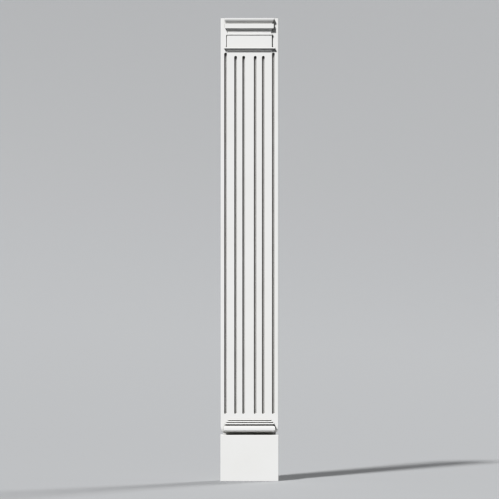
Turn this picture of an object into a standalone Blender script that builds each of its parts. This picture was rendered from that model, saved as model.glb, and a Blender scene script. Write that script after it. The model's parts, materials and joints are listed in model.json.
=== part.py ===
"""Fluted pilaster: a flat board moulded in one piece with its capital, its base
moulding and its plinth, made to be fixed to a wall beside a doorway.

Metres, +Z up. The origin is the middle of the flat back, X runs across the
front and the front faces -Y. Every height below is measured up from the foot.

The board is a loft of level sections. Six narrow flutes with rounded ends are
cut into its face. The plinth, the base moulding, the astragal and the capital
are mitred mouldings joined on to it. At the end the back is cut flat against
the wall and the head is cut level.
"""

from math import cos, pi, sin

import bmesh
import bpy

# Overall
HEIGHT = 2.080
FOOT = -HEIGHT / 2  # where the foot lies in this frame

# Board
BOARD_HALF_WIDTH = 0.129
BOARD_DEPTH = 0.030
ARRIS = 0.0015  # long edges are taken off by this much

# Plinth
PLINTH_HALF_WIDTH = 0.130
PLINTH_DEPTH = 0.058
PLINTH_TOP = 0.206

# Hollow that runs round the front and both sides, between board and plinth
HOLLOW_INSET = 0.0105
HOLLOW_FLAT_TOP = 0.218
HOLLOW_TOP = 0.246

# Flutes
FLUTE_CENTRES = (0.0260, 0.0623, 0.1075)  # each side of the middle
FLUTE_HALF_WIDTH = 0.0070
FLUTE_DEPTH = 0.0105
FLUTE_FOOT = 0.298
FLUTE_HEAD = 1.912  # the inner four
LONG_FLUTE_HEAD = 1.9265  # the outer two stop just under the astragal
FLUTE_RAISE = 0.0006  # the cutters' middles stand this far off the face

# Base moulding, on the board's face
BASE_HALF_WIDTH = 0.0920
BASE_FOOT = 0.2190
BAND_TOP = 0.2470
BAND_OUT = 0.0235
BAND_ROUND = 0.0115  # radius of the torus, above and below its short flat
REEDS = (  # foot, head, how far out, and how far out the quirk under it is
    (0.2540, 0.2590, 0.0185, 0.0120),
    (0.2630, 0.2675, 0.0115, 0.0065),
    (0.2715, 0.2760, 0.0045, -0.0020),
)
REED_ROUND = 0.0019

# Astragal
ASTRAGAL_HALF_WIDTH = 0.1035
ASTRAGAL_FOOT = 1.928
ASTRAGAL_NOSE = 1.9435
ASTRAGAL_HEAD = 1.949
ASTRAGAL_OUT = 0.0115

# Capital
NECK_HALF_WIDTH = 0.1010
NECK_DEPTH = 0.036
NECK_HEAD = 2.005
NECK_BEAD_HEAD = 2.0105
CAP_COVE_FOOT = 2.013
CAP_FOOT = 2.035
CAP_HEAD = 2.055
CROWN_HEAD = 2.073
CAP_COVE_BACK = -0.0025  # the cove starts behind the neck's face
CAP_OUT = 0.0085
CROWN_BACK = 0.0010
CROWN_OUT = 0.0095

# How far a joined moulding runs back into the board, and how far rough ends
# run past the planes where the back and the head are cut off
EMBED = 0.010
BOARD_SPARE = 0.010
PLINTH_SPARE = 0.014
CAP_SPARE = 0.012


def level(height, out):
    """One point of a moulding's profile: a height and how far it stands out."""
    return (FOOT + height, out)


def flat(foot, head, out):
    return [level(foot, out), level(head, out)]


def quarter(start, end, leaves_upright, steps=6):
    """A quarter of an ellipse between two points. It leaves its start running
    upright and arrives level, or the other way round."""
    (z0, p0), (z1, p1) = start, end
    points = []
    for i in range(steps + 1):
        a = pi / 2 * i / steps
        along, across = sin(a), 1 - cos(a)
        if not leaves_upright:
            along, across = across, along
        points.append((z0 + (z1 - z0) * along, p0 + (p1 - p0) * across))
    return points


def half_round(foot, head, seat, swell, steps=12):
    """A bead or torus that swells out from its seat."""
    middle, radius = (foot + head) / 2, (head - foot) / 2
    return [
        level(middle - radius * cos(pi * i / steps), seat + swell * sin(pi * i / steps))
        for i in range(steps + 1)
    ]


def band(foot, head, out, rounding, steps):
    """A flat band with both its edges rounded."""
    seat = out - rounding
    return joined(
        quarter(level(foot, seat), level(foot + rounding, out), False, steps),
        quarter(level(head - rounding, out), level(head, seat), True, steps),
    )


def ogee(start, end, steps=10):
    """An S from start to end, upright at both."""
    (z0, p0), (z1, p1) = start, end
    return [
        (z0 + (z1 - z0) * i / steps, p0 + (p1 - p0) * (1 - cos(pi * i / steps)) / 2)
        for i in range(steps + 1)
    ]


def joined(*runs):
    """One profile from several, with points that repeat left out."""
    points = []
    for z, p in (point for run in runs for point in run):
        if not points or abs(points[-1][0] - z) + abs(points[-1][1] - p) > 1e-6:
            points.append((z, p))
    return points


def mesh_object(name, bm, helper):
    bmesh.ops.recalc_face_normals(bm, faces=bm.faces)
    mesh = bpy.data.meshes.new(name)
    bm.to_mesh(mesh)
    bm.free()
    obj = bpy.data.objects.new(name, mesh)
    bpy.context.scene.collection.objects.link(obj)
    if helper:
        obj.hide_render = True
        obj.display_type = "WIRE"
    return obj


def loft(bm, rings):
    """Skins a stack of rings that all have the same number of points."""
    rows = [[bm.verts.new(point) for point in ring] for ring in rings]
    count = len(rows[0])
    for low, high in zip(rows, rows[1:]):
        for i in range(count):
            j = (i + 1) % count
            bm.faces.new((low[i], low[j], high[j], high[i]))
    bm.faces.new(rows[0][::-1])
    bm.faces.new(rows[-1])


def section(z, half_width, depth, back):
    """The outline of one level: square at the back, arrises off at the front."""
    w, y, c = half_width, -depth, ARRIS
    return [
        (-w, back, z),
        (-w, y + c, z),
        (-w + c, y, z),
        (w - c, y, z),
        (w, y + c, z),
        (w, back, z),
    ]


def moulding(name, profile, half_width, depth, back, helper=True):
    """A moulding that returns on itself at both ends. Where the profile stands
    out by p, the section is wider by p each side and deeper by p, so the ends
    mitre themselves."""
    bm = bmesh.new()
    loft(bm, [section(z, half_width + p, depth + p, back) for z, p in profile])
    return mesh_object(name, bm, helper)


def flute_cutter(name, x, foot, head, around=24, end_steps=6):
    """An upright rod with an elliptical section and rounded ends. Its middle
    runs just off the board's face, so its back half cuts the flute."""
    bm = bmesh.new()
    r = FLUTE_HALF_WIDTH
    z0, z1 = FOOT + foot, FOOT + head
    centre = -BOARD_DEPTH - FLUTE_RAISE
    depth = FLUTE_DEPTH + FLUTE_RAISE

    def ring(z, scale):
        return [
            bm.verts.new(
                (
                    x + r * scale * cos(2 * pi * i / around),
                    centre + depth * scale * sin(2 * pi * i / around),
                    z,
                )
            )
            for i in range(around)
        ]

    turns = [pi / 2 * i / end_steps for i in range(1, end_steps + 1)]
    rows = [ring(z0 + r * (1 - cos(a)), sin(a)) for a in turns]
    rows += [ring(z1 - r * (1 - cos(a)), sin(a)) for a in reversed(turns)]
    for low, high in zip(rows, rows[1:]):
        for i in range(around):
            j = (i + 1) % around
            bm.faces.new((low[i], low[j], high[j], high[i]))
    for row, tip in ((rows[0], z0), (rows[-1], z1)):
        end = bm.verts.new((x, centre, tip))
        for i in range(around):
            bm.faces.new((row[i], row[(i + 1) % around], end))
    return mesh_object(name, bm, helper=True)


def block(name, low, high):
    bm = bmesh.new()
    bmesh.ops.create_cube(bm, size=1)
    for v in bm.verts:
        v.co = [(a + b) / 2 + (b - a) * c for a, b, c in zip(low, high, v.co)]
    return mesh_object(name, bm, helper=True)


def combine(obj, operation, other):
    modifier = obj.modifiers.new(f"{operation.title()} {other.name}", "BOOLEAN")
    modifier.operation = operation
    modifier.solver = "EXACT"
    modifier.object = other


def moulded_white(name):
    material = bpy.data.materials.new(name)
    material.use_nodes = True
    shader = material.node_tree.nodes["Principled BSDF"]
    shader.inputs["Base Color"].default_value = (0.86, 0.86, 0.84, 1)
    shader.inputs["Roughness"].default_value = 0.5
    shader.inputs["Metallic"].default_value = 0
    material.diffuse_color = (0.86, 0.86, 0.84, 1)
    return material


for old in list(bpy.data.objects):
    bpy.data.objects.remove(old, do_unlink=True)

# The board. It starts inside the plinth, with a hollow just above the plinth's
# top, rounds out to its full width and then runs straight up past the head.
board_profile = joined(
    flat(0.100, HOLLOW_FLAT_TOP, -HOLLOW_INSET),
    quarter(level(HOLLOW_FLAT_TOP, -HOLLOW_INSET), level(HOLLOW_TOP, 0), False),
    flat(HOLLOW_TOP, HEIGHT + BOARD_SPARE, 0),
)
pilaster = moulding(
    "pilaster", board_profile, BOARD_HALF_WIDTH, BOARD_DEPTH, BOARD_SPARE, helper=False
)

# Six flutes. All end at one level at the foot, and the outer two run on up to
# the astragal.
for number, offset in enumerate(FLUTE_CENTRES):
    last = number == len(FLUTE_CENTRES) - 1
    head = LONG_FLUTE_HEAD if last else FLUTE_HEAD
    for side, word in ((-1, "left"), (1, "right")):
        cutter = flute_cutter(
            f"flute_{number + 1}_{word}", side * offset, FLUTE_FOOT, head
        )
        combine(pilaster, "DIFFERENCE", cutter)

# The plinth, square below and with its top arris taken off
plinth_profile = joined(
    flat(0, PLINTH_TOP - ARRIS, 0), [level(PLINTH_TOP, -ARRIS)]
)
combine(
    pilaster,
    "UNION",
    moulding("plinth", plinth_profile, PLINTH_HALF_WIDTH, PLINTH_DEPTH, PLINTH_SPARE),
)

# The base moulding, from below: a torus, then three reeds over quirks, each
# set further back than the one below it
base_profile = band(BASE_FOOT, BAND_TOP, BAND_OUT, BAND_ROUND, steps=7)
below = BAND_TOP
for foot, head, out, quirk in REEDS:
    base_profile += flat(below, foot, quirk) + band(foot, head, out, REED_ROUND, steps=3)
    below = head
base_profile = joined(base_profile)
combine(
    pilaster,
    "UNION",
    moulding("base_moulding", base_profile, BASE_HALF_WIDTH, BOARD_DEPTH, -EMBED),
)

# The capital, from below: the neck block, a small bead, a cove that leans out
# under the cap, the cap's flat face, and the crown, an ogee under a top fillet
capital_profile = joined(
    flat(ASTRAGAL_FOOT + 0.008, NECK_HEAD, 0),
    half_round(NECK_HEAD, NECK_BEAD_HEAD, 0.0006, 0.0026, steps=8),
    flat(NECK_BEAD_HEAD, CAP_COVE_FOOT, CAP_COVE_BACK),
    quarter(
        level(CAP_COVE_FOOT, CAP_COVE_BACK),
        level(CAP_FOOT, CAP_OUT - 0.0012),
        leaves_upright=True,
    ),
    flat(CAP_FOOT, CAP_HEAD, CAP_OUT),
    ogee(level(CAP_HEAD, CROWN_BACK), level(CROWN_HEAD, CROWN_OUT - 0.0012)),
    flat(CROWN_HEAD, HEIGHT + CAP_SPARE, CROWN_OUT),
)
combine(
    pilaster,
    "UNION",
    moulding("capital", capital_profile, NECK_HALF_WIDTH, NECK_DEPTH, -EMBED),
)

# The astragal: a cove that leans out to a narrow nose, wider than the neck
# block above it
astragal_profile = joined(
    quarter(
        level(ASTRAGAL_FOOT, 0.0012),
        level(ASTRAGAL_NOSE, ASTRAGAL_OUT - 0.0025),
        leaves_upright=True,
        steps=8,
    ),
    half_round(ASTRAGAL_NOSE, ASTRAGAL_HEAD, ASTRAGAL_OUT - 0.0015, 0.0015, steps=8),
)
combine(
    pilaster,
    "UNION",
    moulding("astragal", astragal_profile, ASTRAGAL_HALF_WIDTH, BOARD_DEPTH, -EMBED * 0.7),
)

# Cut flat against the wall and level at the head
wall = block(
    "wall_plane",
    (-0.3, 0, FOOT - 0.1),
    (0.3, 0.1, FOOT + HEIGHT + 0.1),
)
combine(pilaster, "DIFFERENCE", wall)
head = block(
    "head_plane",
    (-0.35, -0.2, FOOT + HEIGHT),
    (0.35, 0.2, FOOT + HEIGHT + 0.05),
)
combine(pilaster, "DIFFERENCE", head)

pilaster.data.materials.append(moulded_white("moulded_white"))
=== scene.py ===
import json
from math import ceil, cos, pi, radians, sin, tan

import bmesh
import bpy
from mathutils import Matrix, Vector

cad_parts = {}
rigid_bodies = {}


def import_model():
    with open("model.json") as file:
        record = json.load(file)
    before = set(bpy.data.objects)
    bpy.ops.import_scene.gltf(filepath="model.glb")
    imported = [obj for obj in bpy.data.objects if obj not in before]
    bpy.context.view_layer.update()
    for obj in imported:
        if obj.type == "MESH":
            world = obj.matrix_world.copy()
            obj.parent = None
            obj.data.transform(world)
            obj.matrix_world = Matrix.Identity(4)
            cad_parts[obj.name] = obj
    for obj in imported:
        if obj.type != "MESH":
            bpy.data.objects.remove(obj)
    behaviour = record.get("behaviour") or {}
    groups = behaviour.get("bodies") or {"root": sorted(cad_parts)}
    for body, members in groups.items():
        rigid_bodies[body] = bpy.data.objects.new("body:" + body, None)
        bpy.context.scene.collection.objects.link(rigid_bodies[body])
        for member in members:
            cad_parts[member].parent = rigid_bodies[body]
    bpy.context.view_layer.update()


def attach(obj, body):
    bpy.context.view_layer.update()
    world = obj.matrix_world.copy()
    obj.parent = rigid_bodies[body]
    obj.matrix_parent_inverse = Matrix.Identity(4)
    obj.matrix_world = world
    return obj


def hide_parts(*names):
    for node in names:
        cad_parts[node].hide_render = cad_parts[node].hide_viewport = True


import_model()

# The looks of a flat fluted pilaster, moulded in one piece and primed white.
#
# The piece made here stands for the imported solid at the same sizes. Its flutes
# and mouldings are round instead of faceted, every arris is softened as a mould
# and a coat of primer leave it, and its surface has the slight texture of
# primed rigid foam. Metres, +Z up, the front faces -Y, and heights named below
# are measured up from the foot.

HEIGHT = 2.080
FOOT = -HEIGHT / 2

BOARD_HALF_WIDTH, BOARD_DEPTH = 0.129, 0.030
PLINTH_HALF_WIDTH, PLINTH_DEPTH, PLINTH_TOP = 0.130, 0.058, 0.206
HOLLOW_INSET, HOLLOW_FLAT_TOP, HOLLOW_TOP = 0.0105, 0.218, 0.246

FLUTE_CENTRES = (0.0260, 0.0623, 0.1075)
FLUTE_HALF_WIDTH, FLUTE_DEPTH = 0.0064, 0.0105  # the width is under the rim
FLUTE_RIM = 0.0009  # radius of the rounded rim
FLUTE_FOOT, FLUTE_HEAD, LONG_FLUTE_HEAD = 0.298, 1.912, 1.9265
FLUTE = (FLUTE_HALF_WIDTH, FLUTE_DEPTH, FLUTE_RIM)
NECK_QUIRK = (0.0020, 0.0040, 0.0005)  # half width, depth and rim, as in a flute
NECK_QUIRK_CENTRE, NECK_QUIRK_FOOT, NECK_QUIRK_HEAD = 0.1032, 1.944, 2.004

BASE_HALF_WIDTH = 0.0920
BASE_FOOT, BAND_TOP, BAND_OUT, BAND_ROUND = 0.2190, 0.2470, 0.0235, 0.0115
REEDS = (  # foot, head, how far out, and how far out the quirk under it is
    (0.2540, 0.2590, 0.0185, 0.0120),
    (0.2630, 0.2675, 0.0115, 0.0065),
    (0.2715, 0.2760, 0.0045, -0.0020),
)
REED_ROUND = 0.0020

ASTRAGAL_HALF_WIDTH = 0.1035
ASTRAGAL_FOOT, ASTRAGAL_NOSE, ASTRAGAL_HEAD = 1.928, 1.9435, 1.949
ASTRAGAL_OUT = 0.0115

NECK_HALF_WIDTH, NECK_DEPTH = 0.1010, 0.036
NECK_HEAD, NECK_BEAD_HEAD, CAP_COVE_FOOT = 2.005, 2.0105, 2.013
CAP_FOOT, CAP_HEAD, CROWN_HEAD = 2.035, 2.055, 2.073
CAP_COVE_BACK, CAP_OUT, CROWN_BACK, CROWN_OUT = -0.0025, 0.0085, 0.0010, 0.0095

EMBED = 0.010  # how far a joined moulding runs back into the board
SOFT = 0.0008  # radius that primer and mould leave on the mouldings' arrises
CORNER = 0.0016  # radius of the upright arrises
CUT = 0.0007  # radius where the back, the head and the foot are cut flat
SPARE = 0.010


# --- Profiles ---------------------------------------------------------------


def level(height, out):
    return (FOOT + height, out)


def flat(foot, head, out):
    return [level(foot, out), level(head, out)]


def quarter(start, end, leaves_upright, steps=14):
    (z0, p0), (z1, p1) = start, end
    points = []
    for i in range(steps + 1):
        a = pi / 2 * i / steps
        along, across = sin(a), 1 - cos(a)
        if not leaves_upright:
            along, across = across, along
        points.append((z0 + (z1 - z0) * along, p0 + (p1 - p0) * across))
    return points


def half_round(foot, head, seat, swell, steps=28):
    middle, radius = (foot + head) / 2, (head - foot) / 2
    return [
        level(middle - radius * cos(pi * i / steps), seat + swell * sin(pi * i / steps))
        for i in range(steps + 1)
    ]


def ogee(start, end, steps=22):
    (z0, p0), (z1, p1) = start, end
    return [
        (z0 + (z1 - z0) * i / steps, p0 + (p1 - p0) * (1 - cos(pi * i / steps)) / 2)
        for i in range(steps + 1)
    ]


def joined(*runs):
    points = []
    for z, p in (point for run in runs for point in run):
        if not points or abs(points[-1][0] - z) + abs(points[-1][1] - p) > 1e-6:
            points.append((z, p))
    return points


def band(foot, head, out, rounding, steps=8):
    """A flat band with both its edges rounded."""
    seat = out - rounding
    return joined(
        quarter(level(foot, seat), level(foot + rounding, out), False, steps),
        quarter(level(head - rounding, out), level(head, seat), True, steps),
    )


def softened(profile, radius=SOFT, over=radians(24), widest=radians(20)):
    """The profile with each corner sharper than `over` turned into an arc of
    this radius, or less where its two sides are short."""
    points = [profile[0]]
    for before, at, after in zip(profile, profile[1:], profile[2:]):
        a = Vector(before) - Vector(at)
        b = Vector(after) - Vector(at)
        la, lb = a.length, b.length
        turn = pi - a.angle(b)
        if turn < over:
            points.append(at)
            continue
        reach = min(radius * tan(turn / 2), 0.45 * la, 0.45 * lb)
        r = reach / tan(turn / 2)
        a, b = a / la, b / lb
        start, end = Vector(at) + a * reach, Vector(at) + b * reach
        middle = Vector(at) + (a + b).normalized() * (r / cos(turn / 2))
        steps = ceil(turn / widest)
        for i in range(steps + 1):
            t = i / steps
            u, v = start - middle, end - middle
            w = (u * sin((1 - t) * turn) + v * sin(t * turn)) / sin(turn)
            points.append(tuple(middle + w))
    points.append(profile[-1])
    return points


# --- Solids -----------------------------------------------------------------

workshop = bpy.data.collections.new("workshop")
bpy.context.scene.collection.children.link(workshop)


def mesh_object(name, bm):
    bmesh.ops.recalc_face_normals(bm, faces=bm.faces)
    mesh = bpy.data.meshes.new(name)
    bm.to_mesh(mesh)
    bm.free()
    obj = bpy.data.objects.new(name, mesh)
    workshop.objects.link(obj)
    return obj


def loft(bm, rings):
    rows = [[bm.verts.new(point) for point in ring] for ring in rings]
    count = len(rows[0])
    for low, high in zip(rows, rows[1:]):
        for i in range(count):
            j = (i + 1) % count
            bm.faces.new((low[i], low[j], high[j], high[i]))
    bm.faces.new(rows[0][::-1])
    bm.faces.new(rows[-1])


def section(z, half_width, depth, back, radius=CORNER, steps=5):
    """One level: square at the back, with both front corners rounded."""
    ring = [(-half_width, back, z)]
    for side in (-1, 1):
        for i in range(steps + 1):
            a = pi / 2 * (i / steps if side < 0 else 1 - i / steps)
            ring.append(
                (
                    side * (half_width - radius + radius * cos(a)),
                    -(depth - radius + radius * sin(a)),
                    z,
                )
            )
    ring.append((half_width, back, z))
    return ring


def moulding(name, profile, half_width, depth, back):
    bm = bmesh.new()
    rings = [section(z, half_width + p, depth + p, back) for z, p in softened(profile)]
    loft(bm, rings)
    return mesh_object(name, bm)


def flute_cutter(name, x, foot, head, size=FLUTE, around=22, across=14, rim=5):
    """A round-ended trough, swept round a long narrow stadium. Its sides roll
    outwards at the board's face, which rounds the flute's rim."""
    a, depth, r = size
    wall = [
        (a * sin(pi / 2 * i / across), r + (depth - r) * cos(pi / 2 * i / across))
        for i in range(1, across + 1)
    ]
    last = radians(70)
    wall += [
        (a + r - r * cos(last * i / rim), r - r * sin(last * i / rim))
        for i in range(1, rim + 1)
    ]
    s, y = wall[-1]
    rise = 0.002
    wall.append((s + rise * tan(last), y - rise))
    reach = a + r
    z0, z1 = FOOT + foot + reach, FOOT + head - reach
    face = -BOARD_DEPTH

    bm = bmesh.new()
    low = bm.verts.new((x, face + depth, z0))
    high = bm.verts.new((x, face + depth, z1))
    turns = [pi + pi * i / around for i in range(around + 1)]
    turns += [pi * i / around for i in range(around + 1)]
    ends = [z0] * (around + 1) + [z1] * (around + 1)
    rows = [
        [bm.verts.new((x + s * cos(t), face + y, z + s * sin(t))) for t, z in zip(turns, ends)]
        for s, y in wall
    ]
    count = len(turns)
    for inner, outer in zip(rows, rows[1:]):
        for i in range(count):
            j = (i + 1) % count
            bm.faces.new((inner[i], inner[j], outer[j], outer[i]))
    first = rows[0]
    for i in range(around):
        bm.faces.new((low, first[i], first[i + 1]))
        k = around + 1 + i
        bm.faces.new((high, first[k], first[k + 1]))
    bm.faces.new((low, first[around], first[around + 1], high))
    bm.faces.new((high, first[-1], first[0], low))
    bm.faces.new(rows[-1])
    return mesh_object(name, bm)


def block(name, low, high):
    bm = bmesh.new()
    bmesh.ops.create_cube(bm, size=1)
    for v in bm.verts:
        v.co = [(a + b) / 2 + (b - a) * c for a, b, c in zip(low, high, v.co)]
    return mesh_object(name, bm)


def combine(obj, operation, other):
    modifier = obj.modifiers.new(other.name, "BOOLEAN")
    modifier.operation = operation
    modifier.solver = "EXACT"
    modifier.object = other


# The board, with the hollow that runs round the front and both sides above
# the plinth
board = moulding(
    "board",
    joined(
        flat(0.100, HOLLOW_FLAT_TOP, -HOLLOW_INSET),
        quarter(level(HOLLOW_FLAT_TOP, -HOLLOW_INSET), level(HOLLOW_TOP, 0), False, 20),
        flat(HOLLOW_TOP, HEIGHT + SPARE, 0),
    ),
    BOARD_HALF_WIDTH,
    BOARD_DEPTH,
    SPARE,
)
for number, offset in enumerate(FLUTE_CENTRES):
    head = LONG_FLUTE_HEAD if number == len(FLUTE_CENTRES) - 1 else FLUTE_HEAD
    for side in (-1, 1):
        combine(
            board,
            "DIFFERENCE",
            flute_cutter(f"flute_{number}_{side}", side * offset, FLUTE_FOOT, head),
        )
# A narrow quirk down each side of the neck block, from the astragal to the bead
for side in (-1, 1):
    combine(
        board,
        "DIFFERENCE",
        flute_cutter(
            f"quirk_{side}", side * NECK_QUIRK_CENTRE, NECK_QUIRK_FOOT, NECK_QUIRK_HEAD,
            NECK_QUIRK, 12, 6, 3,
        ),
    )
combine(
    board,
    "UNION",
    moulding(
        "plinth",
        joined(flat(0, PLINTH_TOP, 0), [level(PLINTH_TOP, -0.004)]),
        PLINTH_HALF_WIDTH,
        PLINTH_DEPTH,
        SPARE + 0.004,
    ),
)
# A torus, then three reeds over quirks, each set further back than the one
# below it
base_profile = band(BASE_FOOT, BAND_TOP, BAND_OUT, BAND_ROUND, 16)
below = BAND_TOP
for foot, head, out, quirk in REEDS:
    base_profile += flat(below, foot, quirk) + band(foot, head, out, REED_ROUND, 6)
    below = head
combine(
    board,
    "UNION",
    moulding("base", joined(base_profile), BASE_HALF_WIDTH, BOARD_DEPTH, -EMBED),
)
# The neck block, a small bead, a cove that leans out, the cap and the crown
combine(
    board,
    "UNION",
    moulding(
        "capital",
        joined(
            flat(ASTRAGAL_FOOT + 0.008, NECK_HEAD, 0),
            half_round(NECK_HEAD, NECK_BEAD_HEAD, 0.0006, 0.0026, 16),
            flat(NECK_BEAD_HEAD, CAP_COVE_FOOT, CAP_COVE_BACK),
            quarter(
                level(CAP_COVE_FOOT, CAP_COVE_BACK), level(CAP_FOOT, CAP_OUT - 0.0012), True, 16
            ),
            flat(CAP_FOOT, CAP_HEAD, CAP_OUT),
            ogee(level(CAP_HEAD, CROWN_BACK), level(CROWN_HEAD, CROWN_OUT - 0.0012)),
            flat(CROWN_HEAD, HEIGHT + SPARE + 0.002, CROWN_OUT),
        ),
        NECK_HALF_WIDTH,
        NECK_DEPTH,
        -EMBED,
    ),
)
# A cove that leans out to a narrow nose, wider than the neck block above it
combine(
    board,
    "UNION",
    moulding(
        "astragal",
        joined(
            quarter(
                level(ASTRAGAL_FOOT, 0.0012), level(ASTRAGAL_NOSE, ASTRAGAL_OUT - 0.0025), True, 18
            ),
            half_round(ASTRAGAL_NOSE, ASTRAGAL_HEAD, ASTRAGAL_OUT - 0.0015, 0.0015, 14),
        ),
        ASTRAGAL_HALF_WIDTH,
        BOARD_DEPTH,
        -EMBED * 0.7,
    ),
)
combine(board, "DIFFERENCE", block("wall", (-0.3, 0, FOOT - 0.1), (0.3, 0.1, -FOOT + 0.1)))
combine(board, "DIFFERENCE", block("head", (-0.35, -0.2, -FOOT), (0.35, 0.2, -FOOT + 0.05)))

bpy.context.view_layer.update()
made = bpy.data.meshes.new_from_object(
    board.evaluated_get(bpy.context.evaluated_depsgraph_get())
)
made.name = "pilaster_moulding"
for helper in list(workshop.objects):
    bpy.data.objects.remove(helper, do_unlink=True)
bpy.data.collections.remove(workshop)

piece = bpy.data.objects.new("pilaster_moulding", made)
bpy.context.scene.collection.objects.link(piece)


def cut_plane(face):
    """Which of the three flat cuts a face lies in, or nothing."""
    n, c = face.normal, face.calc_center_median()
    if n.y > 0.999 and abs(c.y) < 1e-5:
        return "back"
    if n.z > 0.999 and abs(c.z + FOOT) < 1e-5:
        return "head"
    if n.z < -0.999 and abs(c.z - FOOT) < 1e-5:
        return "foot"
    return None


def finish_mesh(mesh):
    """Rounds the arrises where the back, the head and the foot were cut flat."""
    bm = bmesh.new()
    bm.from_mesh(mesh)
    bmesh.ops.remove_doubles(bm, verts=bm.verts, dist=2e-5)
    bmesh.ops.dissolve_degenerate(bm, edges=bm.edges, dist=1e-5)
    plane = {face: cut_plane(face) for face in bm.faces}
    arrises = [
        e
        for e in bm.edges
        if len(e.link_faces) == 2 and len({plane[f] for f in e.link_faces}) == 2
    ]
    bmesh.ops.bevel(
        bm,
        geom=arrises,
        offset=CUT,
        offset_type="OFFSET",
        segments=4,
        profile=0.5,
        affect="EDGES",
        clamp_overlap=True,
    )
    print(
        "open edges:", sum(not e.is_manifold for e in bm.edges),
        "faces:", len(bm.faces),
        "arrises:", len(arrises),
        "volume:", round(bm.calc_volume(), 6),
    )
    bm.to_mesh(mesh)
    bm.free()


finish_mesh(made)
made.shade_smooth()
made.set_sharp_from_angle(angle=radians(30))
weighted = piece.modifiers.new("weighted_normals", "WEIGHTED_NORMAL")
weighted.mode = "FACE_AREA"
weighted.weight = 50
weighted.keep_sharp = True

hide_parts("pilaster")
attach(piece, "root")


# --- Materials --------------------------------------------------------------


def node(tree, kind, **values):
    made_node = tree.nodes.new(kind)
    for key, value in values.items():
        if key in made_node.inputs:
            made_node.inputs[key].default_value = value
        else:
            setattr(made_node, key, value)
    return made_node


def remap(tree, source, low, high, to_low, to_high, curve="LINEAR"):
    made_node = tree.nodes.new("ShaderNodeMapRange")
    made_node.interpolation_type = curve
    for name, value in (
        ("From Min", low), ("From Max", high), ("To Min", to_low), ("To Max", to_high)
    ):
        made_node.inputs[name].default_value = value
    tree.links.new(source, made_node.inputs["Value"])
    return made_node.outputs["Result"]


def maths(tree, operation, *values):
    """One Math node, on sockets or plain numbers."""
    made_node = tree.nodes.new("ShaderNodeMath")
    made_node.operation = operation
    for value, socket in zip(values, made_node.inputs):
        if isinstance(value, (int, float)):
            socket.default_value = value
        else:
            tree.links.new(value, socket)
    return made_node.outputs["Value"]


def mixed(tree, blend_type, factor, a, b):
    """One colour Mix node, on sockets or plain values."""
    made_node = node(tree, "ShaderNodeMix", data_type="RGBA", blend_type=blend_type)
    for value, socket in ((factor, "Factor"), (a, "A"), (b, "B")):
        if isinstance(value, (int, float, tuple)):
            made_node.inputs[socket].default_value = value
        else:
            tree.links.new(value, made_node.inputs[socket])
    return made_node.outputs["Result"]


def ramp(tree, source, low, low_colour, high, high_colour):
    made_node = tree.nodes.new("ShaderNodeValToRGB")
    for element, position, colour in zip(
        made_node.color_ramp.elements, (low, high), (low_colour, high_colour)
    ):
        element.position = position
        element.color = (*colour, 1)
    tree.links.new(source, made_node.inputs["Fac"])
    return made_node.outputs["Color"]


def noise(tree, vector, scale, detail, roughness):
    made_node = node(
        tree, "ShaderNodeTexNoise", Scale=scale, Detail=detail, Roughness=roughness
    )
    tree.links.new(vector, made_node.inputs["Vector"])
    return made_node.outputs["Fac"]


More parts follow.
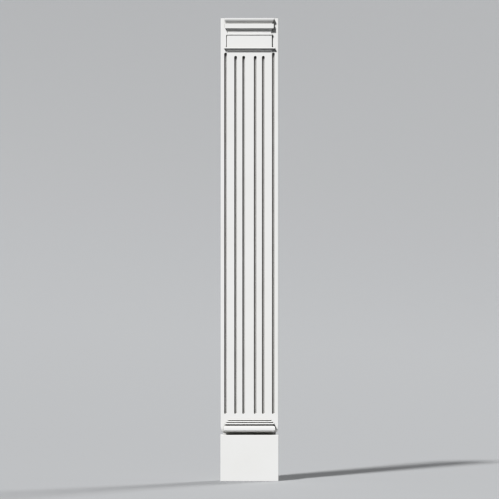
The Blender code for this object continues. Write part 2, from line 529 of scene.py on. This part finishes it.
def primed_white(name):
    """White primer on the front, the sides and the ends. The back is the bare
    skin of the foam, struck flat, with the primer's overspray round its rim."""
    material = bpy.data.materials.new(name)
    material.use_nodes = True
    tree = material.node_tree
    shader = tree.nodes["Principled BSDF"]
    link = tree.links.new
    place = node(tree, "ShaderNodeTexCoord").outputs["Object"]

    # Faint clouds where the primer lies thicker or thinner, and fine specks of
    # the same white, a shade apart
    clouds = noise(tree, place, 5.0, 4.0, 0.55)
    tone = ramp(tree, clouds, 0.30, (0.800, 0.798, 0.782), 0.72, (0.868, 0.868, 0.858))
    specks = remap(tree, noise(tree, place, 220.0, 3.0, 0.6), 0.3, 0.7, 0.965, 1.0)
    primer = mixed(tree, "MULTIPLY", 1.0, tone, specks)

    # Painted shade: the colour goes greyer in the flutes, quirks and inner corners,
    # by how closed in the ambient occlusion finds them, to stand in for the shade there
    nooks = node(tree, "ShaderNodeAmbientOcclusion", samples=8, only_local=True)
    nooks.inputs["Distance"].default_value = 0.019
    painted_shade = remap(tree, nooks.outputs["AO"], 0.34, 0.93, 1.0, 0.0, "SMOOTHSTEP")
    primer_and_painted_shade = mixed(tree, "MIX", painted_shade, primer, (0.29, 0.286, 0.276, 1))

    # Where the skin is bare: on the back, in from its rim by an uneven margin
    split = tree.nodes.new("ShaderNodeSeparateXYZ")
    link(place, split.inputs["Vector"])
    x, y, z = (split.outputs[axis] for axis in "XYZ")
    in_from_side = maths(tree, "SUBTRACT", BOARD_HALF_WIDTH, maths(tree, "ABSOLUTE", x))
    in_from_end = maths(tree, "SUBTRACT", HEIGHT / 2, maths(tree, "ABSOLUTE", z))
    margin = maths(tree, "MINIMUM", in_from_side, in_from_end)
    drift = remap(tree, noise(tree, place, 24.0, 4.0, 0.6), 0.3, 0.7, -0.010, 0.010)
    inside = remap(
        tree, maths(tree, "ADD", margin, drift), 0.002, 0.024, 0.0, 1.0, "SMOOTHSTEP"
    )
    on_back = remap(tree, y, -0.0006, -0.0001, 0.0, 1.0)
    bare = maths(tree, "MULTIPLY", inside, on_back)

    # The bare skin: cream, with long faint marks from striking it flat and open
    # pits here and there
    skin = ramp(
        tree, noise(tree, place, 11.0, 4.0, 0.6), 0.32, (0.690, 0.662, 0.585),
        0.70, (0.775, 0.755, 0.690),
    )
    along = tree.nodes.new("ShaderNodeVectorMath")
    along.operation = "MULTIPLY"
    along.inputs[1].default_value = (300.0, 300.0, 5.0)
    link(place, along.inputs[0])
    marks = noise(tree, along.outputs["Vector"], 1.0, 3.0, 0.6)
    skin = mixed(tree, "MULTIPLY", 1.0, skin, remap(tree, marks, 0.3, 0.7, 0.93, 1.0))
    cells = node(tree, "ShaderNodeTexVoronoi", Scale=150.0)
    link(place, cells.inputs["Vector"])
    tint = tree.nodes.new("ShaderNodeSeparateColor")
    link(cells.outputs["Color"], tint.inputs["Color"])
    open_cell = maths(tree, "GREATER_THAN", tint.outputs["Red"], 0.62)
    radius = remap(tree, tint.outputs["Green"], 0.0, 1.0, 0.07, 0.20)
    depth = maths(tree, "SUBTRACT", radius, cells.outputs["Distance"])
    pits = maths(tree, "MULTIPLY", remap(tree, depth, 0.0, 0.06, 0.0, 1.0), open_cell)
    skin = mixed(
        tree, "MIX", maths(tree, "MULTIPLY", pits, 0.65), skin, (0.34, 0.30, 0.235, 1)
    )
    # The primer with its painted shade in the recesses, or the bare skin on the back
    link(mixed(tree, "MIX", bare, primer_and_painted_shade, skin), shader.inputs["Base Color"])

    # The primer's roughness follows the clouds, and the bare skin is duller
    satin = remap(tree, clouds, 0.25, 0.75, 0.56, 0.44)
    dull = maths(tree, "MULTIPLY", bare, 0.30)
    link(maths(tree, "ADD", satin, dull), shader.inputs["Roughness"])

    # Orange peel of sprayed primer over a slow waviness from the mould, and on
    # the bare skin the striking marks and the pits
    slow = node(tree, "ShaderNodeBump", Strength=0.35, Distance=0.0012)
    link(noise(tree, place, 9.0, 1.0, 0.4), slow.inputs["Height"])
    fine = node(tree, "ShaderNodeBump", Strength=0.26, Distance=0.00022)
    link(noise(tree, place, 520.0, 2.0, 0.5), fine.inputs["Height"])
    link(slow.outputs["Normal"], fine.inputs["Normal"])
    relief = maths(tree, "SUBTRACT", maths(tree, "MULTIPLY", marks, 0.35), pits)
    struck = node(tree, "ShaderNodeBump", Strength=0.7, Distance=0.0006)
    link(maths(tree, "MULTIPLY", relief, bare), struck.inputs["Height"])
    link(fine.outputs["Normal"], struck.inputs["Normal"])
    link(struck.outputs["Normal"], shader.inputs["Normal"])
    return material


made.materials.clear()
made.materials.append(primed_white("primed_white"))


# --- Stage, light and camera ------------------------------------------------


def plain(name, colour, roughness):
    material = bpy.data.materials.new(name)
    material.use_nodes = True
    shader = material.node_tree.nodes["Principled BSDF"]
    shader.inputs["Base Color"].default_value = (*colour, 1)
    shader.inputs["Roughness"].default_value = roughness
    shader.inputs["Specular IOR Level"].default_value = 0.1
    return material


def studio_floor(name, floor_z, radius, height, power, around=96, steps=60):
    """A round floor, flat in the middle, that rises more and more steeply."""
    bm = bmesh.new()
    rows = []
    for i in range(1, steps + 1):
        r = radius * i / steps
        z = floor_z + height * (i / steps) ** power
        rows.append(
            [
                bm.verts.new((r * cos(2 * pi * k / around), r * sin(2 * pi * k / around), z))
                for k in range(around)
            ]
        )
    for low, high in zip(rows, rows[1:]):
        for k in range(around):
            j = (k + 1) % around
            bm.faces.new((low[k], low[j], high[j], high[k]))
    bm.faces.new(rows[0])
    bmesh.ops.recalc_face_normals(bm, faces=bm.faces)
    if rows[0][0].link_faces[0].normal.z < 0:
        bmesh.ops.reverse_faces(bm, faces=bm.faces)
    mesh = bpy.data.meshes.new(name)
    bm.to_mesh(mesh)
    bm.free()
    mesh.shade_smooth()
    obj = bpy.data.objects.new(name, mesh)
    bpy.context.scene.collection.objects.link(obj)
    return obj


studio = studio_floor("studio", FOOT - 0.0005, 27.0, 6.5, 4.6)
studio.data.materials.append(plain("studio_grey", (0.252, 0.256, 0.261), 0.9))
studio.visible_diffuse = False  # the white piece would lose its shade to it


def sun(name, azimuth, elevation, strength, soft):
    """A lamp seen from the object at this azimuth, measured from -Y towards +X."""
    data = bpy.data.lights.new(name, "SUN")
    data.energy = strength
    data.angle = radians(soft)
    obj = bpy.data.objects.new(name, data)
    a, e = radians(azimuth), radians(elevation)
    towards = Vector((sin(a) * cos(e), -cos(a) * cos(e), sin(e)))
    obj.rotation_euler = towards.to_track_quat("Z", "Y").to_euler()
    obj.location = towards * 5
    bpy.context.scene.collection.objects.link(obj)


sun("key", -38, 49, 6.1, 6)
sun("fill_behind", 132, 30, 3.6, 18)

world = bpy.data.worlds.new("studio")
world.use_nodes = True
world.node_tree.nodes["Background"].inputs["Color"].default_value = (0.95, 0.97, 1.0, 1)
world.node_tree.nodes["Background"].inputs["Strength"].default_value = 0.14
bpy.context.scene.world = world

# Keeps the whites apart, where a plain transform would clip the brightest faces
bpy.context.scene.view_settings.view_transform = "Khronos PBR Neutral"

LENS = 250.0
FRAME_HEIGHT = 2.25  # of the view at the object
camera_data = bpy.data.cameras.new("camera")
camera_data.lens = LENS
camera_data.sensor_width = 36.0
camera_data.clip_end = 200.0
camera = bpy.data.objects.new("camera", camera_data)
distance = FRAME_HEIGHT * LENS / 36.0
camera.location = (0, -distance, 0)
camera.rotation_euler = (pi / 2, 0, 0)
bpy.context.scene.collection.objects.link(camera)
bpy.context.scene.camera = camera
